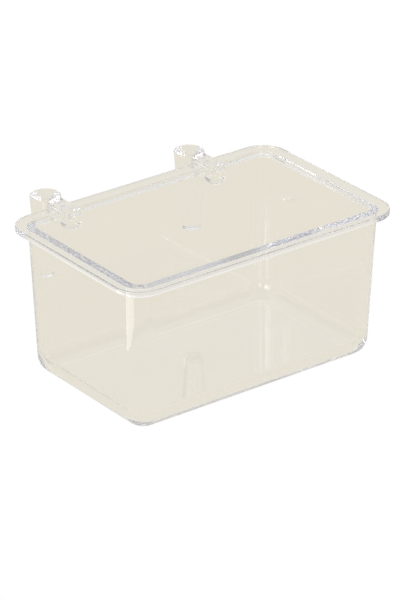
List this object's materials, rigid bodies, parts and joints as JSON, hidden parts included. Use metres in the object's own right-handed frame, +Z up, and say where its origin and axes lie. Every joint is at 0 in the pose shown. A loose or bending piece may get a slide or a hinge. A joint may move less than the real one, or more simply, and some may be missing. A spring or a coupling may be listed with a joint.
{
  "type": "hang-on cage cup",
  "caption": "Clear rectangular plastic cup with a flanged rim and hooks that clip over its back rim, with tapered pegs that wedge between cage wires.",
  "frame": {"origin": "centre of the tub's flat base", "axes": "+X along the length of the tub, to the right seen from the front; the front faces -Y and the hooks are on the +Y side; +Z up"},
  "size_m": [0.11, 0.0832, 0.0551],
  "materials": {
    "tub_plastic": "clear polystyrene with a faint warm tint, polished",
    "hook_plastic": "clear polystyrene, polished"
  },
  "bodies": {
    "tub": {"tub": "tub_plastic"},
    "left_hook": {"left_hook": "hook_plastic"},
    "right_hook": {"right_hook": "hook_plastic"}
  },
  "joints": [
    {"name": "left_hook_slide", "type": "slide", "parent": "tub", "child": "left_hook", "axis": [1, 0, 0], "range_m": [-0.0069, 0.0273]},
    {"name": "right_hook_slide", "type": "slide", "parent": "tub", "child": "right_hook", "axis": [1, 0, 0], "range_m": [-0.0195, 0.0147]}
  ]
}
